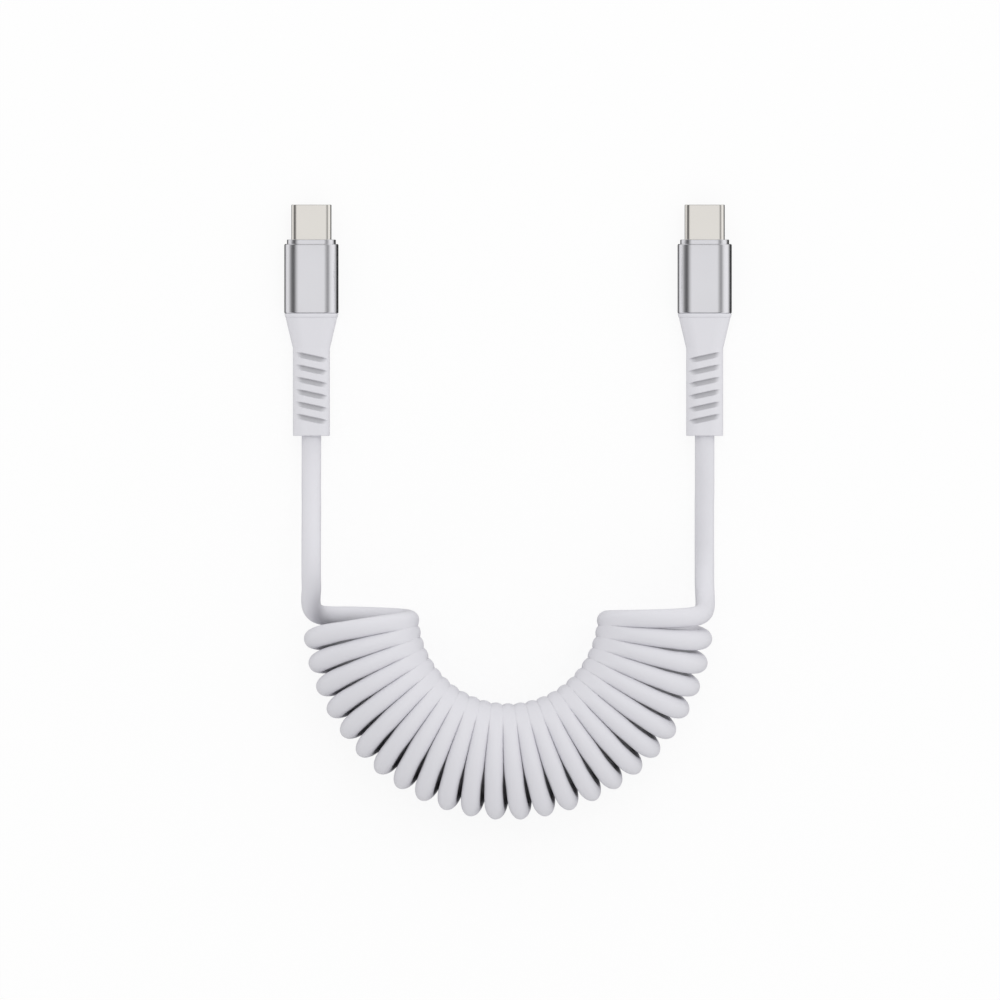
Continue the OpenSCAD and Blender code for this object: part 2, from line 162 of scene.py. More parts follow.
def outline_point(around, width, height, corner):
    """A point on a round-cornered rectangle, 'around' of the way round from the middle of its right side."""
    flat_w, flat_h, arc = width - 2 * corner, height - 2 * corner, math.pi * corner / 2
    place = (around % 1.0) * (2 * flat_w + 2 * flat_h + 4 * arc)
    runs = [(flat_h / 2, None), (arc, 0), (flat_w, None), (arc, 1), (flat_h, None), (arc, 2), (flat_w, None),
            (arc, 3), (flat_h / 2, None)]
    starts = [(width / 2, 0), None, (flat_w / 2, height / 2), None, (-width / 2, flat_h / 2), None,
              (-flat_w / 2, -height / 2), None, (width / 2, -flat_h / 2)]
    ways = [(0, 1), None, (-1, 0), None, (0, -1), None, (1, 0), None, (0, 1)]
    centres = [(flat_w / 2, flat_h / 2), (-flat_w / 2, flat_h / 2), (-flat_w / 2, -flat_h / 2),
               (flat_w / 2, -flat_h / 2)]
    for (length, quarter), start, way in zip(runs, starts, ways):
        if place > length:
            place -= length
            continue
        if quarter is None:
            return start[0] + way[0] * place, start[1] + way[1] * place
        angle = (quarter + place / length) * math.pi / 2
        return centres[quarter][0] + corner * math.cos(angle), centres[quarter][1] + corner * math.sin(angle)
    return width / 2, 0


def set_ring(ring, layer, station):
    """Moves a ring's vertices onto the station's outline: (y, width, height, corner)."""
    y, width, height, corner = station
    for vertex in ring:
        x, z = outline_point(vertex[layer], width, height, corner)
        vertex.co = (x, y, z)


def loft(bm, stations, count):
    """Skins a closed wall through the stations, out along the outside and back along the inside."""
    layer = bm.verts.layers.float.new("around")
    ring = bmesh.ops.create_circle(bm, cap_ends=False, radius=1.0, segments=count)["verts"]
    for index, vertex in enumerate(ring):
        vertex[layer] = index / count
    edges = bm.edges[:]
    set_ring(ring, layer, stations[0])
    for station in list(stations[1:]) + [stations[0]]:
        grown = bmesh.ops.extrude_edge_only(bm, edges=edges)["geom"]
        ring = [part for part in grown if isinstance(part, bmesh.types.BMVert)]
        fresh = set(ring)
        edges = [part for part in grown if isinstance(part, bmesh.types.BMEdge) and set(part.verts) <= fresh]
        set_ring(ring, layer, station)
    bmesh.ops.remove_doubles(bm, verts=bm.verts, dist=1e-7)
    bmesh.ops.recalc_face_normals(bm, faces=bm.faces)


def rounded_edge(y, width, height, corner, radius, towards, steps=4):
    """Stations that round off an outline's edge at y, from the wall to the face; towards is +1 or -1 on Y."""
    stations = []
    for step in range(steps + 1):
        angle = step / steps * math.pi / 2
        inset = radius * (1 - math.cos(angle))
        back = radius * (1 - math.sin(angle))
        stations.append((y - towards * back, width - 2 * inset, height - 2 * inset, corner - inset))
    return stations


def new_piece(name, bm, material, body, smooth_below=40):
    """Makes an object of a finished bmesh, with its finish and, when given, its body."""
    mesh = bpy.data.meshes.new(name)
    bm.to_mesh(mesh)
    bm.free()
    mesh.shade_smooth()
    mesh.set_sharp_from_angle(angle=math.radians(smooth_below))
    piece = bpy.data.objects.new(name, mesh)
    bpy.context.scene.collection.objects.link(piece)
    mesh.materials.append(material)
    if body:
        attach(piece, body)
    return piece


def plug_place(side):
    """The plug's axis: its X and its height, from the sleeve's box."""
    low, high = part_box(f"{side}_housing_sleeve")
    return (low[0] + high[0]) / 2, (low[2] + high[2]) / 2


def set_in_place(bm, side):
    """Puts a piece drawn on the plug's axis in its place; the right-hand plug lies the other face up."""
    x, z = plug_place(side)
    for vertex in bm.verts:
        turn = 1 if side == "left" else -1
        vertex.co = (turn * vertex.co.x + x, vertex.co.y, turn * vertex.co.z + z)


# --- Finishes ---

def group(name, inputs, outputs):
    """A shader node group with named sockets, and its input and output nodes."""
    tree = bpy.data.node_groups.new(name, "ShaderNodeTree")
    for label, kind, default in inputs:
        socket = tree.interface.new_socket(label, in_out="INPUT", socket_type=kind)
        if default is not None:
            socket.default_value = default
    for label, kind in outputs:
        tree.interface.new_socket(label, in_out="OUTPUT", socket_type=kind)
    return tree, tree.nodes.new("NodeGroupInput"), tree.nodes.new("NodeGroupOutput")


def noise(tree, vector, scale, detail=3.0):
    node = tree.nodes.new("ShaderNodeTexNoise")
    node.inputs["Detail"].default_value = detail
    tree.links.new(vector, node.inputs["Vector"])
    if isinstance(scale, float):
        node.inputs["Scale"].default_value = scale
    else:
        tree.links.new(scale, node.inputs["Scale"])
    return node.outputs["Fac"]


def maths(tree, kind, a, b=0.0, clamp=False):
    node = tree.nodes.new("ShaderNodeMath")
    node.operation = kind
    node.use_clamp = clamp
    for socket, value in zip(node.inputs, (a, b)):
        if isinstance(value, (int, float)):
            socket.default_value = value
        else:
            tree.links.new(value, socket)
    return node.outputs[0]


def between(tree, value, start, end):
    """0 at start, 1 at end, and smooth between them."""
    node = tree.nodes.new("ShaderNodeMapRange")
    node.interpolation_type = "SMOOTHSTEP"
    node.inputs["From Min"].default_value = start
    node.inputs["From Max"].default_value = end
    tree.links.new(value, node.inputs["Value"])
    return node.outputs["Result"]


def make_moulded_skin():
    """Soft moulded rubber: an uneven tone, with painted shade where the piece marks its creases and slots, a
    matt grain and an uneven gloss.
    """
    cloud_scale, cloud_share, gloss_swing = 60.0, 0.35, 0.12
    tree, inside, out = group(
        "Moulded skin",
        [("Colour", "NodeSocketColor", (0.8, 0.8, 0.8, 1)), ("Shade", "NodeSocketColor", (0.7, 0.7, 0.7, 1)),
         ("Grain scale", "NodeSocketFloat", 4000.0), ("Roughness", "NodeSocketFloat", 0.5),
         ("Painted shade", "NodeSocketFloat", 0.0), ("Painted shade tone", "NodeSocketFloat", 0.5)],
        [("Colour", "NodeSocketColor"), ("Roughness", "NodeSocketFloat"), ("Grain", "NodeSocketFloat")])
    where = tree.nodes.new("ShaderNodeTexCoord").outputs["Object"]
    broad = noise(tree, where, cloud_scale)
    grain = noise(tree, where, inside.outputs["Grain scale"], 4.0)
    mix = tree.nodes.new("ShaderNodeMix")
    mix.data_type = "RGBA"
    tree.links.new(maths(tree, "MULTIPLY", broad, cloud_share), mix.inputs["Factor"])
    tree.links.new(inside.outputs["Colour"], mix.inputs[6])
    tree.links.new(inside.outputs["Shade"], mix.inputs[7])
    # Painted shade: the colour falls towards the given tone where the piece's mask of painted shade is 1
    tone = maths(tree, "SUBTRACT", 1.0, maths(tree, "MULTIPLY", inside.outputs["Painted shade"],
                                              maths(tree, "SUBTRACT", 1.0, inside.outputs["Painted shade tone"])))
    dark = tree.nodes.new("ShaderNodeVectorMath")
    dark.operation = "SCALE"
    tree.links.new(mix.outputs[2], dark.inputs[0])
    tree.links.new(tone, dark.inputs["Scale"])
    tree.links.new(dark.outputs[0], out.inputs["Colour"])
    swing = maths(tree, "MULTIPLY", maths(tree, "SUBTRACT", broad, 0.5), gloss_swing)
    tree.links.new(maths(tree, "ADD", inside.outputs["Roughness"], swing), out.inputs["Roughness"])
    tree.links.new(grain, out.inputs["Grain"])
    return tree


def make_satin_metal():
    """Fine-blasted and anodised metal: a uniform satin with a barely visible grain."""
    grain_scale, cloud_scale = 9000.0, 250.0
    tree, inside, out = group(
        "Satin metal",
        [("Roughness", "NodeSocketFloat", 0.25), ("Spread", "NodeSocketFloat", 0.06)],
        [("Roughness", "NodeSocketFloat"), ("Grain", "NodeSocketFloat")])
    where = tree.nodes.new("ShaderNodeTexCoord").outputs["Object"]
    fine = noise(tree, where, grain_scale, 2.0)
    broad = noise(tree, where, cloud_scale, 3.0)
    swing = maths(tree, "MULTIPLY", maths(tree, "SUBTRACT", broad, 0.5), inside.outputs["Spread"])
    tree.links.new(maths(tree, "ADD", inside.outputs["Roughness"], swing), out.inputs["Roughness"])
    tree.links.new(fine, out.inputs["Grain"])
    return tree


def new_material(name):
    material = bpy.data.materials.new(name)
    material.use_nodes = True
    tree = material.node_tree
    return material, tree, tree.nodes["Principled BSDF"]


def add_bump(tree, shader, height, strength, distance):
    bump = tree.nodes.new("ShaderNodeBump")
    bump.inputs["Strength"].default_value = strength
    bump.inputs["Distance"].default_value = distance
    tree.links.new(height, bump.inputs["Height"])
    tree.links.new(bump.outputs["Normal"], shader.inputs["Normal"])


def rubber(name, colour, grain_scale, roughness, painted_shade_tone=1.0):
    """A soft plastic; its colour falls to the given tone of itself where the piece's attribute of painted shade
    is 1, as painted shade in creases and slots.
    """
    material, tree, shader = new_material(name)
    skin = tree.nodes.new("ShaderNodeGroup")
    skin.node_tree = bpy.data.node_groups["Moulded skin"]
    skin.inputs["Colour"].default_value = (*colour, 1)
    skin.inputs["Shade"].default_value = (*[channel * 0.96 for channel in colour], 1)
    skin.inputs["Grain scale"].default_value = grain_scale
    skin.inputs["Roughness"].default_value = roughness
    if painted_shade_tone < 1:
        # Painted shade: reads the piece's mask that darkens the colour in its creases and slots
        mark = tree.nodes.new("ShaderNodeAttribute")
        mark.attribute_name = "painted_shade"
        tree.links.new(mark.outputs["Fac"], skin.inputs["Painted shade"])
        skin.inputs["Painted shade tone"].default_value = painted_shade_tone
    tree.links.new(skin.outputs["Colour"], shader.inputs["Base Color"])
    tree.links.new(skin.outputs["Roughness"], shader.inputs["Roughness"])
    shader.inputs["Specular IOR Level"].default_value = 0.35
    add_bump(tree, shader, skin.outputs["Grain"], 0.25, 0.00003)
    return material


def metal(name, colour, roughness, spread=0.06, grain=0.15):
    material, tree, shader = new_material(name)
    satin = tree.nodes.new("ShaderNodeGroup")
    satin.node_tree = bpy.data.node_groups["Satin metal"]
    satin.inputs["Roughness"].default_value = roughness
    satin.inputs["Spread"].default_value = spread
    shader.inputs["Base Color"].default_value = (*colour, 1)
    shader.inputs["Metallic"].default_value = 1.0
    tree.links.new(satin.outputs["Roughness"], shader.inputs["Roughness"])
    add_bump(tree, shader, satin.outputs["Grain"], grain, 0.00001)
    return material


INNER_FINISHES = {
    "contact_carrier": ("Black carrier moulding", (0.022, 0.022, 0.025), None),
    "upper_contacts": ("Gold contacts", (0.83, 0.6, 0.24), 0.22),
    "lower_contacts": ("Gold contacts", (0.83, 0.6, 0.24), 0.22),
    "latch_spring": ("Spring steel", (0.62, 0.62, 0.64), 0.28),
    "ground_springs": ("Spring steel", (0.62, 0.62, 0.64), 0.28),
    "circuit_board": ("Green board", (0.03, 0.16, 0.07), None),
    "marker_chip": ("Black chip", (0.03, 0.03, 0.033), None),
    "capacitors": ("Tan capacitor", (0.42, 0.29, 0.16), None),
    "conductors": ("Conductor insulation", (0.5, 0.06, 0.05), None),
    "shield_top": ("Tinned shield", (0.68, 0.68, 0.69), 0.35),
    "shield_bottom": ("Tinned shield", (0.68, 0.68, 0.69), 0.35),
    "crimp_ferrule": ("Ferrule steel", (0.6, 0.6, 0.62), 0.35),
    "inner_moulding": ("Milky inner moulding", (0.66, 0.68, 0.7), None),
}


class CABLE_OT_finishes(Operator):
    """Make the finishes, and give the inner pieces theirs"""
    bl_idname = "cable.finishes"
    bl_label = "Finishes"

    def execute(self, context):
        scene = context.scene
        make_moulded_skin()
        make_satin_metal()
        # The last figures are the painted shade's tones: the cord's creases fall to a tenth of its colour, the
        # boot's slots to 0.62 of theirs
        rubber("Cord jacket", scene.cable_cord.colour, 5000.0, 0.52, 0.1)
        rubber("Boot rubber", scene.cable_boot.colour, 3500.0, 0.5, 0.62)
        metal("Satin sleeve", scene.cable_plug.sleeve_colour, 0.2)
        metal("Nickel shell", scene.cable_plug.shell_colour, 0.16, grain=0.05)
        made = {}
        for node, (name, colour, roughness) in INNER_FINISHES.items():
            if name not in made:
                if roughness is None:
                    made[name] = rubber(name, colour, 3000.0, 0.45)
                else:
                    made[name] = metal(name, colour, roughness)
            for side in SIDES:
                for place in frame["nodes"][f"{side}_{node}"].material_slots:
                    place.material = made[name]
        for side in SIDES:
            for place in frame["nodes"][f"{side}_cord_end"].material_slots:
                place.material = bpy.data.materials["Cord jacket"]
        return {"FINISHED"}


# --- Stage ---

# What the metal reflects, as (lean from straight up towards +X in degrees, level): a softbox overhead, flags
# and the room
REFLECTED = [
    (-180, 0.03), (-146, 0.03), (-130, 0.45), (-116, 0.88), (-97, 0.84), (-88, 0.78), (-78, 0.52),
    (-68, 0.29), (-59, 0.16), (-50, 0.11), (-42, 0.11), (-34, 0.26), (-26, 0.5), (-17, 0.7), (-8, 0.84),
    (0, 0.87), (6, 0.83), (12, 0.7), (20, 0.5), (28, 0.36), (35, 0.31), (41, 0.42), (50, 0.7), (60, 0.87),
    (76, 0.95), (90, 0.97), (98, 0.82), (112, 0.4), (122, 0.04), (180, 0.03),
]
# How much more light comes from the room's walls than from its ceiling, from its right and from the plugs'
# side
WALL_LIGHT, RIGHT_LIGHT, FRONT_LIGHT = 0.5, 0.08, 0.12
# Where the flags at the two ends of the room begin and are full, by how far a direction points along Y and
# along X, and how much they take away
FLAG_FROM, FLAG_TO, FLAG_ASIDE, FLAG_DEPTH = (0.3, 0.5), (0.78, 0.66), (0.6, 0.35), 0.8
# Where the paper shows at the two ends, by how far a direction points along Y and up, and its level
PAPER_FROM, PAPER_BELOW, PAPER_LEVEL = (0.3, 0.6), (0.05, -0.3), 0.7
# The softbox's place, what it points at, and its size
SOFTBOX_PLACE, SOFTBOX_AIM, SOFTBOX_SIZE = (0.18, 0.35, 1.1), (0, -0.037, 0), (0.8, 0.8)
# The picture's column for the object's middle and its row for the plugs' tips, of 1000
MIDDLE_COLUMN, TIP_ROW = 508.05, 204.9
# Share of the floor that the camera sees as even white
FLOOR_GLOW = 0.87


def world_light(fill):
    """A soft room that lights the object, with a softbox and flags that only reflections see."""
    world = bpy.data.worlds.new("Studio")
    bpy.context.scene.world = world
    world.use_nodes = True
    tree = world.node_tree
    tree.nodes.clear()
    out = tree.nodes.new("ShaderNodeOutputWorld")
    even = tree.nodes.new("ShaderNodeBackground")
    even.inputs["Color"].default_value = (1, 1, 1, 1)
    seen = tree.nodes.new("ShaderNodeBackground")
    seen.inputs["Color"].default_value = (1, 1, 1, 1)
    room = tree.nodes.new("ShaderNodeBackground")
    direction = tree.nodes.new("ShaderNodeTexCoord").outputs["Generated"]
    split = tree.nodes.new("ShaderNodeSeparateXYZ")
    tree.links.new(direction, split.inputs[0])
    walls = maths(tree, "SUBTRACT", 1 + WALL_LIGHT * 2 / 3,
                  maths(tree, "MULTIPLY", split.outputs["Z"], WALL_LIGHT))
    ends = maths(tree, "ADD", maths(tree, "MULTIPLY", split.outputs["X"], RIGHT_LIGHT),
                 maths(tree, "MULTIPLY", split.outputs["Y"], FRONT_LIGHT))
    tree.links.new(maths(tree, "MULTIPLY", maths(tree, "ADD", walls, ends), fill), even.inputs["Strength"])
    lean = maths(tree, "ARCTAN2", split.outputs["X"], split.outputs["Z"])
    ahead = maths(tree, "ABSOLUTE", split.outputs["Y"])
    aside = maths(tree, "ABSOLUTE", split.outputs["X"])
    flagged = maths(tree, "MULTIPLY", between(tree, ahead, *FLAG_FROM), between(tree, ahead, *FLAG_TO))
    flagged = maths(tree, "MULTIPLY", flagged, between(tree, aside, *FLAG_ASIDE))
    paper = maths(tree, "MULTIPLY", between(tree, ahead, *PAPER_FROM),
                  between(tree, split.outputs["Z"], *PAPER_BELOW))
    ramp = tree.nodes.new("ShaderNodeValToRGB")
    tree.links.new(maths(tree, "ADD", maths(tree, "DIVIDE", lean, 2 * math.pi), 0.5), ramp.inputs[0])
    elements = ramp.color_ramp.elements
    while len(elements) < len(REFLECTED):
        elements.new(0.5)
    for element, (degrees, level) in zip(elements, REFLECTED):
        element.position = degrees / 360 + 0.5
        element.color = (level, level, level, 1)
    floor = tree.nodes.new("ShaderNodeMix")
    floor.data_type = "RGBA"
    floor.inputs[7].default_value = (PAPER_LEVEL, PAPER_LEVEL, PAPER_LEVEL, 1)
    tree.links.new(paper, floor.inputs["Factor"])
    tree.links.new(ramp.outputs["Color"], floor.inputs[6])
    tree.links.new(floor.outputs[2], room.inputs["Color"])
    unflagged = maths(tree, "SUBTRACT", 1.0, maths(tree, "MULTIPLY", flagged, FLAG_DEPTH))
    tree.links.new(unflagged, room.inputs["Strength"])
    path = tree.nodes.new("ShaderNodeLightPath")
    glossy = tree.nodes.new("ShaderNodeMixShader")
    tree.links.new(path.outputs["Is Glossy Ray"], glossy.inputs[0])
    tree.links.new(even.outputs[0], glossy.inputs[1])
    tree.links.new(room.outputs[0], glossy.inputs[2])
    camera = tree.nodes.new("ShaderNodeMixShader")
    tree.links.new(path.outputs["Is Camera Ray"], camera.inputs[0])
    tree.links.new(glossy.outputs[0], camera.inputs[1])
    tree.links.new(seen.outputs[0], camera.inputs[2])
    tree.links.new(camera.outputs[0], out.inputs["Surface"])


def softbox(name, place, aim, size, power):
    data = bpy.data.lights.new(name, "AREA")
    data.shape = "RECTANGLE"
    data.size, data.size_y = size
    data.energy = power
    lamp = bpy.data.objects.new(name, data)
    lamp.location = place
    lamp.rotation_mode = "QUATERNION"
    lamp.rotation_quaternion = (Vector(aim) - Vector(place)).to_track_quat("-Z", "Y")
    lamp.visible_glossy = False
    lamp.visible_camera = False
    bpy.context.scene.collection.objects.link(lamp)


def floor_finish():
    """White paper; the camera sees part of it as even white, so that the shadow stays light."""
    material, tree, shader = new_material("Pale floor")
    shader.inputs["Base Color"].default_value = (0.95, 0.95, 0.95, 1)
    shader.inputs["Roughness"].default_value = 0.9
    shader.inputs["Specular IOR Level"].default_value = 0.0
    glow = tree.nodes.new("ShaderNodeEmission")
    glow.inputs["Color"].default_value = (1, 1, 1, 1)
    path = tree.nodes.new("ShaderNodeLightPath")
    mix = tree.nodes.new("ShaderNodeMixShader")
    tree.links.new(maths(tree, "MULTIPLY", path.outputs["Is Camera Ray"], FLOOR_GLOW), mix.inputs[0])
    tree.links.new(shader.outputs[0], mix.inputs[1])
    tree.links.new(glow.outputs[0], mix.inputs[2])
    tree.links.new(mix.outputs[0], tree.nodes["Material Output"].inputs["Surface"])
    return material


class CABLE_OT_stage(Operator):
    """Set the camera, the light and the floor"""
    bl_idname = "cable.stage"
    bl_label = "Stage"

    def execute(self, context):
        scene = context.scene
        settings = scene.cable_stage
        scene.view_settings.view_transform = "Standard"
        pixel = settings.frame_width / 1000
        tip_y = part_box("left_plug_shell")[1][1]
        camera = bpy.data.objects.new("Camera", bpy.data.cameras.new("Camera"))
        camera.data.sensor_width = 36
        camera.data.lens = 36 * settings.camera_height / settings.frame_width
        camera.data.clip_end = 20
        camera.location = (-(MIDDLE_COLUMN - 500) * pixel, tip_y - (500 - TIP_ROW) * pixel,
                           settings.camera_height)
        scene.collection.objects.link(camera)
        scene.camera = camera
        world_light(settings.fill)
        softbox("Overhead softbox", SOFTBOX_PLACE, SOFTBOX_AIM, SOFTBOX_SIZE, settings.key_power)
        bm = bmesh.new()
        bmesh.ops.create_grid(bm, x_segments=1, y_segments=1, size=3.0)
        mesh = bpy.data.meshes.new("Floor")
        bm.to_mesh(mesh)
        bm.free()
        mesh.materials.append(floor_finish())
        floor = bpy.data.objects.new("Floor", mesh)
        floor.visible_glossy = False
        scene.collection.objects.link(floor)
        return {"FINISHED"}


# --- Cord ---

# How far the first half turn lies from the rest of the coil, towards the plugs
FIRST_LIFT = 0.45 * MM
# The rest shapes the wound cord and places the painted shade in its creases, in metres. A reach is a distance
# from the middle of the bend, and a depth is a distance in from the coil's outside. Each pair is where
# something begins and where it is full.
# How the two sides of the bend fade into its far end, by the sine of the way round
SIDES_FADE = (0.3, 0.85)
# Share of the turns' spacing that a pressed turn keeps, and how much less it is further out
PRESSED_SHARE, PRESSED_LESS, PRESSED_REACHES = 0.999, 0.014, (0.024, 0.031)
# Depth at which a crease's painted shade begins, and how much deeper it is when it is full
CREASE_DEPTH, CREASE_FADE = 0.0012, 0.0009
# How much nearer to the outside the painted shade begins further out, and how much deeper again near the tips
NEARER, NEARER_REACHES = 0.0004, (0.032, 0.0355)
DEEPER, DEEPER_REACHES = 0.0008, (0.0355, 0.0405)
# How much narrower the painted shade is at the bend's sides, and how much more so on the right and less on the
# left
NARROWER, NARROWER_RIGHT, NARROWER_REACHES = 0.0006, 0.0002, (0.032, 0.0375)
# How the painted shade fades deep down in the coil, and towards the tips, where it starts sooner at the bend's
# sides
DEEP_FADE, DEEP_DEPTHS = 0.6, (0.003, 0.004)
TIP_FADE, TIP_REACHES, TIP_BACK, TIP_SIDE = 0.65, (0.0372, 0.0405), 0.0005, 0.0014
# Where the painted shade fades out towards the inside of the bend
INNER_REACHES = (0.0235, 0.0315)
# How far the gaps inside the bend are filled out on the turns' upper half, and where
FILL, FILL_REACHES, FILL_ENDS = 0.9, (0.0183, 0.02), (0.0226, 0.0256)
FILL_HEIGHTS, FILL_DEPTHS = (-0.003, 0.001), (0.0009, 0.0014)
# How much the turns are widened at the bend's sides, and how much their tips are narrowed at its far end
WIDENED, WIDENED_REACHES, WIDENED_ENDS = 0.07, (0.0335, 0.0375), (0.039, 0.0415)
POINTED, POINTED_REACHES = 0.12, (0.0395, 0.0425)
# An angle past any that a turn with no neighbour on that side can reach
FREE = 9.0


def eased(value, start, end):
    """0 before start, 1 past end, and smooth between them."""
    t = np.clip((value - start) / (end - start), 0.0, 1.0)
    return t * t * (3 - 2 * t)


class Coil:
    """The line that the wound cord follows: a helix bent round a half circle that opens towards +Y."""

    def __init__(self, settings):
        low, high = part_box("coil")
        self.bend = settings.bend_radius
        self.cord_r = settings.diameter / 2
        self.wind = settings.coil_diameter / 2 - self.cord_r
        self.turns = settings.turns
        self.height = (low[2] + high[2]) / 2
        self.centre_y = high[1] - self.cord_r
        self.step = math.pi / self.turns

    def advance(self, wound):
        """Angle round the bend after winding by 'wound', from the left end."""
        return wound * self.step / (2 * math.pi)

    def point(self, wound):
        """Place on the helix; it starts outermost on the left and first goes down."""
        reach = self.bend + self.wind * math.cos(wound)
        along = self.advance(wound)
        lifted = FIRST_LIFT * (1 - float(eased(wound, math.radians(90), math.radians(210))))
        return Vector((-reach * math.cos(along), self.centre_y - reach * math.sin(along) + lifted,
                       self.height - self.wind * math.sin(wound)))

    def heading(self, wound):
        small = 1e-4
        return (self.point(wound + small) - self.point(wound - small)).normalized()


def curved(start, leaving, end, arriving, pull_start, pull_end, steps):
    """Points on a smooth bend between two places, without the first and the last."""
    a = start + leaving * pull_start
    b = end - arriving * pull_end
    points = []
    for step in range(1, steps):
        t = step / steps
        points.append((1 - t) ** 3 * start + 3 * (1 - t) ** 2 * t * a + 3 * (1 - t) * t ** 2 * b
                      + t ** 3 * end)
    return points


def smooth_line(points, heading, spacing):
    """A smooth line through given points, which starts straight along Y and ends on the heading."""
    line = []
    for index in range(len(points) - 1):
        p, q = points[index], points[index + 1]
        before = points[index - 1] if index else p - Vector((0, q.y - p.y, 0))
        leave = (q - before) / 2
        arrive = (points[index + 2] - p) / 2 if index + 2 < len(points) else heading * (q - p).length
        steps = max(1, round((q - p).length / spacing))
        for step in range(steps):
            t = step / steps
            line.append((2 * t ** 3 - 3 * t ** 2 + 1) * p + (t ** 3 - 2 * t ** 2 + t) * leave
                        + (3 * t ** 2 - 2 * t ** 3) * q + (t ** 3 - t ** 2) * arrive)
    line.append(points[-1])
    return line


RINGS_PER_TURN = 48
CORNER_RINGS = 30


def cord_line(coil):
    """The whole cord from boot to boot, and how far it is wound at each point, or None outside the coil."""
    spacing = 0.0006
    leads, headings = {}, {}
    for side, sign in SIDES.items():
        start_x, start_z = plug_place(side)
        across, along, up = CORNERS[side][0]
        headings[side] = Vector((sign * across, along, up)).normalized()
        route = [Vector((sign * x, y, z)) for x, y, z in LEAD_ROUTES[side]]
        inside = Vector((start_x, frame_pivot(side).y - 0.001, start_z))
        leads[side] = smooth_line([inside] + route, headings[side], spacing)
    full = 2 * math.pi * coil.turns
    _, first, pull_lead, pull_coil = CORNERS["left"]
    into = curved(leads["left"][-1], headings["left"], coil.point(first), coil.heading(first),
                  pull_lead, pull_coil, CORNER_RINGS)
    wound_in = [first * step / CORNER_RINGS for step in range(1, CORNER_RINGS)]
    _, back, pull_lead, pull_coil = CORNERS["right"]
    last = full - back
    out = curved(coil.point(last), coil.heading(last), leads["right"][-1], -headings["right"],
                 pull_coil, pull_lead, CORNER_RINGS)
    wound_out = [last + back * step / CORNER_RINGS for step in range(1, CORNER_RINGS)]
    count = round((last - first) / (2 * math.pi) * RINGS_PER_TURN)
    wound = [first + (last - first) * ring / count for ring in range(count + 1)]
    line = leads["left"] + into + [coil.point(angle) for angle in wound] + out + leads["right"][::-1]
    return line, [None] * len(leads["left"]) + wound_in + wound + wound_out + [None] * len(leads["right"])


def frame_pivot(side):
    """Where the boot bends, from the frame's joint."""
    return next(Vector(joint["pos_m"]) for joint in frame["joints"] if joint["name"] == f"{side}_boot_bend")


def squeeze_turns(mesh, coil, wound, around):
    """Presses neighbouring turns flat against each other where they are wound closer than the cord is thick,
    fills out the gaps on the inside of the bend, and marks painted shade on each vertex by how deep in a crease
    it lies."""
    coords = np.empty(len(mesh.vertices) * 3)
    mesh.vertices.foreach_get("co", coords)
    coords = coords.reshape(-1, 3)
    painted_shade = np.zeros(len(mesh.vertices))
    full = 2 * math.pi * coil.turns
    first, last = CORNERS["left"][1], full - CORNERS["right"][1]
    outside = coil.wind + coil.cord_r
    for ring, at in enumerate(wound):
        if at is None:
            continue
        part = slice(ring * around, (ring + 1) * around)
        x, y, z = coords[part].T
        y = y - coil.centre_y
        reach = np.hypot(x, y)
        along = np.arctan2(-y, -x)
        along = np.where(along < -math.pi / 2, along + 2 * math.pi, along)
        own = np.arctan2(coil.height - z, reach - coil.bend)
        own = at + (own - at + math.pi) % (2 * math.pi) - math.pi
        middle = own * coil.step / (2 * math.pi)
        limit = (PRESSED_SHARE - PRESSED_LESS * eased(reach, *PRESSED_REACHES)) * coil.step / 2
        before, after = own > 2 * math.pi, own < full - 2 * math.pi
        offset = np.clip(along - middle, np.where(before, -limit, -FREE), np.where(after, limit, FREE))
        depth = outside - np.hypot(reach - coil.bend, z - coil.height)
        crowded = np.where(offset < 0, before, after)
        at_side = 1 - eased(np.sin(along), *SIDES_FADE)
        narrowed = at_side * (NARROWER - NARROWER_RIGHT * np.cos(along)) * eased(reach, *NARROWER_REACHES)
        least = (CREASE_DEPTH - NEARER * eased(reach, *NEARER_REACHES)
                 + DEEPER * eased(reach, *DEEPER_REACHES) + narrowed)
        # Painted shade: darkens the jacket's colour in the creases between turns, where shade falls, less deep
        # down, at the tips and inside the bend
        crease_shade = eased(depth, least, least + CREASE_FADE)
        outward = reach - TIP_BACK + TIP_SIDE * at_side
        crease_shade = (crease_shade * (1 - DEEP_FADE * eased(depth, *DEEP_DEPTHS))
                   * (1 - TIP_FADE * eased(outward, *TIP_REACHES)))
        in_coil = eased(at, first, first + math.pi / 2) * (1 - eased(at, last - math.pi / 2, last))
        painted_shade[part] = crease_shade * crowded * in_coil * eased(reach, *INNER_REACHES)
        inner = eased(reach, *FILL_REACHES) * (1 - eased(reach, *FILL_ENDS))
        upper = eased(z - coil.height, *FILL_HEIGHTS)
        filled = FILL * inner * upper * crowded * (1 - eased(depth, *FILL_DEPTHS))
        swell = 1 + filled * depth / (outside - depth)
        widened = WIDENED * at_side * eased(reach, *WIDENED_REACHES) * (1 - eased(reach, *WIDENED_ENDS))
        pointed = POINTED * (1 - at_side) * eased(reach, *POINTED_REACHES)
        along = middle + offset * (1 + in_coil * (widened - pointed))
        reach = coil.bend + (reach - coil.bend) * swell
        coords[part, 0] = -reach * np.cos(along)
        coords[part, 1] = coil.centre_y - reach * np.sin(along)
        coords[part, 2] = coil.height + (z - coil.height) * swell
    mesh.vertices.foreach_set("co", coords.ravel())
    mesh.attributes.new("painted_shade", "FLOAT", "POINT").data.foreach_set("value", painted_shade)
    mesh.update()


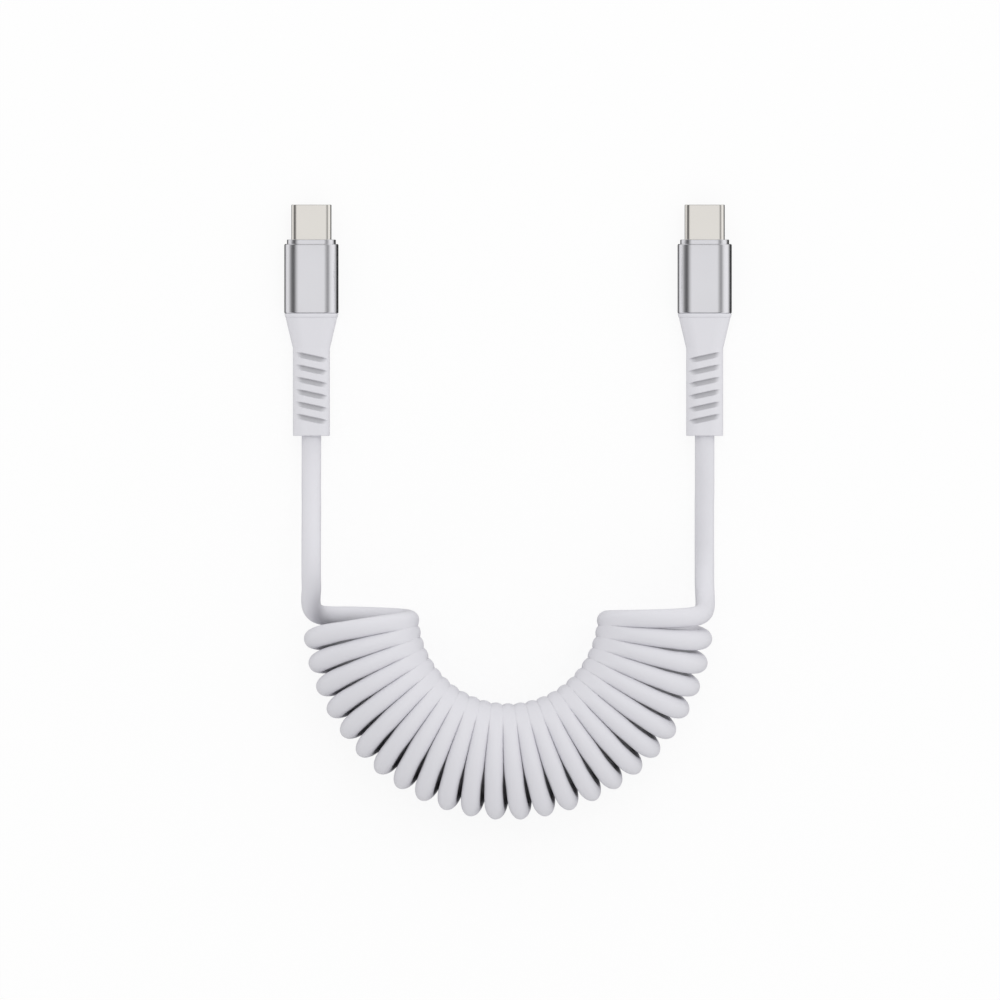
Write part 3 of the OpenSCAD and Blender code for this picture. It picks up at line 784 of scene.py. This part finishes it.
def tube_mesh(name, line, radius, sides):
    """A round tube with one ring of vertices at each point of the line."""
    curve = bpy.data.curves.new(name, "CURVE")
    curve.dimensions = "3D"
    curve.twist_mode = "MINIMUM"
    curve.bevel_depth = radius
    curve.bevel_resolution = sides // 2 - 2
    spline = curve.splines.new("POLY")
    spline.points.add(len(line) - 1)
    for point, place in zip(spline.points, line):
        point.co = (*place, 1)
    holder = bpy.data.objects.new(name, curve)
    bpy.context.scene.collection.objects.link(holder)
    bpy.context.view_layer.update()
    mesh = bpy.data.meshes.new_from_object(holder.evaluated_get(bpy.context.evaluated_depsgraph_get()))
    bpy.data.objects.remove(holder)
    bpy.data.curves.remove(curve)
    return mesh


def close_ends(mesh):
    """Closes the open ends of a tube."""
    bm = bmesh.new()
    bm.from_mesh(mesh)
    bmesh.ops.holes_fill(bm, edges=[edge for edge in bm.edges if edge.is_boundary], sides=0)
    bmesh.ops.recalc_face_normals(bm, faces=bm.faces)
    bm.to_mesh(mesh)
    bm.free()


class CABLE_OT_cord(Operator):
    """Make the cord: a lead, the coil and the other lead in one piece"""
    bl_idname = "cable.cord"
    bl_label = "Cord"

    def execute(self, context):
        settings = context.scene.cable_cord
        coil = Coil(settings)
        line, wound = cord_line(coil)
        sides = 32
        mesh = tube_mesh("Coiled cord", line, coil.cord_r, sides)
        if len(mesh.vertices) != len(line) * sides:
            raise RuntimeError(f"the cord has {len(mesh.vertices)} vertices for {len(line)} rings")
        squeeze_turns(mesh, coil, wound, sides)
        close_ends(mesh)
        mesh.name = "Coiled_cord"
        mesh.shade_smooth()
        mesh.set_sharp_from_angle(angle=math.radians(60))
        mesh.materials.clear()
        mesh.materials.append(bpy.data.materials["Cord jacket"])
        piece = bpy.data.objects.new("Coiled_cord", mesh)
        context.scene.collection.objects.link(piece)
        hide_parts("left_lead", "coil", "right_lead")
        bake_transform(piece)
        return {"FINISHED"}


# --- Boots ---

class CABLE_OT_boots(Operator):
    """Make the white rubber boots with their relief slots"""
    bl_idname = "cable.boots"
    bl_label = "Boots"

    def execute(self, context):
        settings = context.scene.cable_boot
        for side in SIDES:
            self.make_boot(side, settings)
        return {"FINISHED"}

    def make_boot(self, side, settings):
        low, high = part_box(f"{side}_strain_relief")
        sleeve_low, sleeve_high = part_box(f"{side}_housing_sleeve")
        tail_y, front_y = low[1], high[1]
        lip_w, lip_h, lip_corner = sleeve_high[0] - sleeve_low[0], sleeve_high[2] - sleeve_low[2], 3.1 * MM
        width, height, corner = 7.6 * MM, 5.8 * MM, 2.6 * MM
        lip, taper, lip_len = 0.6 * MM, 6.6 * MM, 0.82 * MM
        edge, bore, chamfer = 0.15 * MM, 4.1 * MM, 0.1 * MM
        straight_y = front_y - lip - taper

        def tapered(y, sunk=0.0):
            """The outline at y, between the front and the straight part, sunk below the surface."""
            t = (front_y - y) / (front_y - straight_y)
            return (y, lip_w + (width - lip_w) * t - 2 * sunk, lip_h + (height - lip_h) * t - 2 * sunk,
                    lip_corner + (corner - lip_corner) * t - sunk)

        stations = [(front_y, bore, bore, bore / 2), tapered(front_y, edge),
                    tapered(front_y - 0.3 * edge, 0.3 * edge), tapered(front_y - edge)]
        groove_y = front_y - lip_len
        # The lip's groove, as millimetres behind its front edge and below the surface
        groove = ((-0.04, 0.0), (0.0, 0.03), (0.05, 0.12), (0.11, 0.13), (0.2, 0.06), (0.3, 0.05))
        stations += [tapered(groove_y - behind * MM, below * MM) for behind, below in groove]
        groove_end, last_below = groove_y - groove[-1][0] * MM, groove[-1][1] * MM
        steps = 20
        for step in range(1, steps + 1):
            t = step / steps
            stations.append(tapered(groove_end - (groove_end - straight_y) * t, last_below * (1 - t)))
        fine = 0.1 * MM
        count = round((straight_y - tail_y - edge) / fine)
        for index in range(1, count):
            y = straight_y - (straight_y - tail_y - edge) * index / count
            stations.append((y, width, height, corner))
        stations += rounded_edge(tail_y, width, height, corner, edge, -1)
        stations.append((tail_y, bore + 2 * chamfer, bore + 2 * chamfer, bore / 2 + chamfer))
        bore_steps, bore_length = 30, front_y - tail_y - chamfer
        for index in range(bore_steps):
            y = tail_y + chamfer + bore_length * index / bore_steps
            stations.append((y, bore, bore, bore / 2))
        bm = bmesh.new()
        around = 156
        loft(bm, stations, around)
        self.cut_slots(bm, settings, tail_y, width, height)
        set_in_place(bm, side)
        piece = new_piece(f"{side}_boot", bm, bpy.data.materials["Boot rubber"], None, 50)
        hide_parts(f"{side}_strain_relief")
        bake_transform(piece)

    def cut_slots(self, bm, settings, tail_y, width, height):
        """Sinks the relief slots into both faces: deepest towards the plug, and fading out at the sides; marks
        painted shade in them, by how deep each vertex is sunk.
        """
        half_len = width / 2 - 0.3 * MM
        slot_tail, draft, soft = 3.38 * MM, 0.3, 0.05 * MM
        # Share of the height that has no slots, how much further a slot reaches at its plug side, and how its
        # depth grows towards it
        flank, longer, middle_depth, deeper = 0.2, 0.4 * MM, 0.85, 0.3
        sin, cos = math.sin(settings.slot_slant), math.cos(settings.slot_slant)
        painted_shade = bm.verts.layers.float.new("painted_shade")
        for vertex in bm.verts:
            x, y, z = vertex.co
            if abs(z) < height * flank or y > tail_y + slot_tail + settings.slots * settings.slot_pitch:
                continue
            slanted = y - tail_y - slot_tail + x * math.tan(settings.slot_slant)
            nearest = min(max(round(slanted / settings.slot_pitch), 0), settings.slots - 1)
            dy = y - tail_y - slot_tail - nearest * settings.slot_pitch
            across = x * cos - dy * sin
            up = x * sin + dy * cos
            forward = max(-0.5, min(0.5, up / settings.slot_width))
            reached = float(1 - eased(abs(across) - forward * longer, 0.5 * half_len, half_len))
            louvre = middle_depth + deeper * forward
            wall = max(abs(up) - settings.slot_width / 2, 0.0) / draft
            level = settings.slot_depth * reached * louvre - wall
            blend = max(soft - abs(level), 0.0) / soft
            sunk = max(level, 0.0) + blend * blend * soft / 4
            if reached == 0.0:
                sunk = 0.0
            vertex.co.z = math.copysign(abs(z) - sunk, z)
            # Painted shade: the slot's colour darkens by how deep the vertex is sunk
            vertex[painted_shade] = min(sunk / settings.slot_depth, 1.0)


# --- Metal of the plugs ---

class CABLE_OT_plugs(Operator):
    """Make the sleeves, collars and plug shells"""
    bl_idname = "cable.plugs"
    bl_label = "Plugs"

    def execute(self, context):
        for side in SIDES:
            self.sleeve(side)
            self.collar(side)
            self.shell(side)
        return {"FINISHED"}

    def tube(self, side, node, name, finish, slot, y, outer, inner, edges, count):
        """A wall between two outlines, from y[0] forward to y[1], with rounded edges."""
        back, front = y
        stations = list(rounded_edge(back, *outer, edges, -1))[::-1] + rounded_edge(front, *outer, edges, 1)
        stations += [(front, *inner), (back, *inner)]
        bm = bmesh.new()
        loft(bm, stations, count)
        set_in_place(bm, side)
        piece = new_piece(name, bm, bpy.data.materials[finish], f"{side}_plug")
        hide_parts(node)

    def sleeve(self, side):
        low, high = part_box(f"{side}_housing_sleeve")
        width, height, wall, corner = high[0] - low[0], high[2] - low[2], 0.5 * MM, 3.1 * MM
        self.tube(side, f"{side}_housing_sleeve", f"{side}_sleeve", "Satin sleeve", "sleeve_metal",
                  (low[1], high[1]), (width, height, corner),
                  (width - 2 * wall, height - 2 * wall, corner - wall), edges=0.25 * MM, count=160)

    def collar(self, side):
        low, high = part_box(f"{side}_front_collar")
        width, height, corner = high[0] - low[0], high[2] - low[2], 2.55 * MM
        opening = (8.35 * MM, 2.5 * MM, 1.25 * MM)
        self.tube(side, f"{side}_front_collar", f"{side}_collar", "Satin sleeve", "collar_metal",
                  (low[1], high[1]), (width, height, corner), opening, edges=0.12 * MM, count=160)

    def shell(self, side):
        low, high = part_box(f"{side}_plug_shell")
        width, height, wall = high[0] - low[0], high[2] - low[2], 0.25 * MM
        self.tube(side, f"{side}_plug_shell", f"{side}_shell", "Nickel shell", "shell_nickel",
                  (low[1], high[1]), (width, height, height / 2),
                  (width - 2 * wall, height - 2 * wall, height / 2 - wall), edges=0.12 * MM, count=128)


# --- Panel and registration ---

STEPS = ("finishes", "stage", "cord", "boots", "plugs")


class CABLE_PT_panel(Panel):
    """Lists the cable's settings and its building steps"""
    bl_label = "Coiled Charging Cable"
    bl_idname = "CABLE_PT_panel"
    bl_space_type = "VIEW_3D"
    bl_region_type = "UI"
    bl_category = "Cable"

    def draw(self, context):
        for holder in (context.scene.cable_cord, context.scene.cable_boot, context.scene.cable_plug,
                       context.scene.cable_stage):
            box = self.layout.box()
            for name in holder.__annotations__:
                box.prop(holder, name)
        for step in STEPS:
            self.layout.operator(f"cable.{step}")


CLASSES = (CordSettings, BootSettings, PlugSettings, StageSettings, CABLE_OT_finishes, CABLE_OT_stage,
           CABLE_OT_cord, CABLE_OT_boots, CABLE_OT_plugs, CABLE_PT_panel)
HOLDERS = {"cable_cord": CordSettings, "cable_boot": BootSettings, "cable_plug": PlugSettings,
           "cable_stage": StageSettings}


def register():
    for cls in CLASSES:
        bpy.utils.register_class(cls)
    for name, kind in HOLDERS.items():
        setattr(bpy.types.Scene, name, PointerProperty(type=kind))


def unregister():
    for name in HOLDERS:
        delattr(bpy.types.Scene, name)
    for cls in reversed(CLASSES):
        bpy.utils.unregister_class(cls)


def main():
    register()
    for step in STEPS:
        getattr(bpy.ops.cable, step)()


if __name__ == "__main__":
    main()
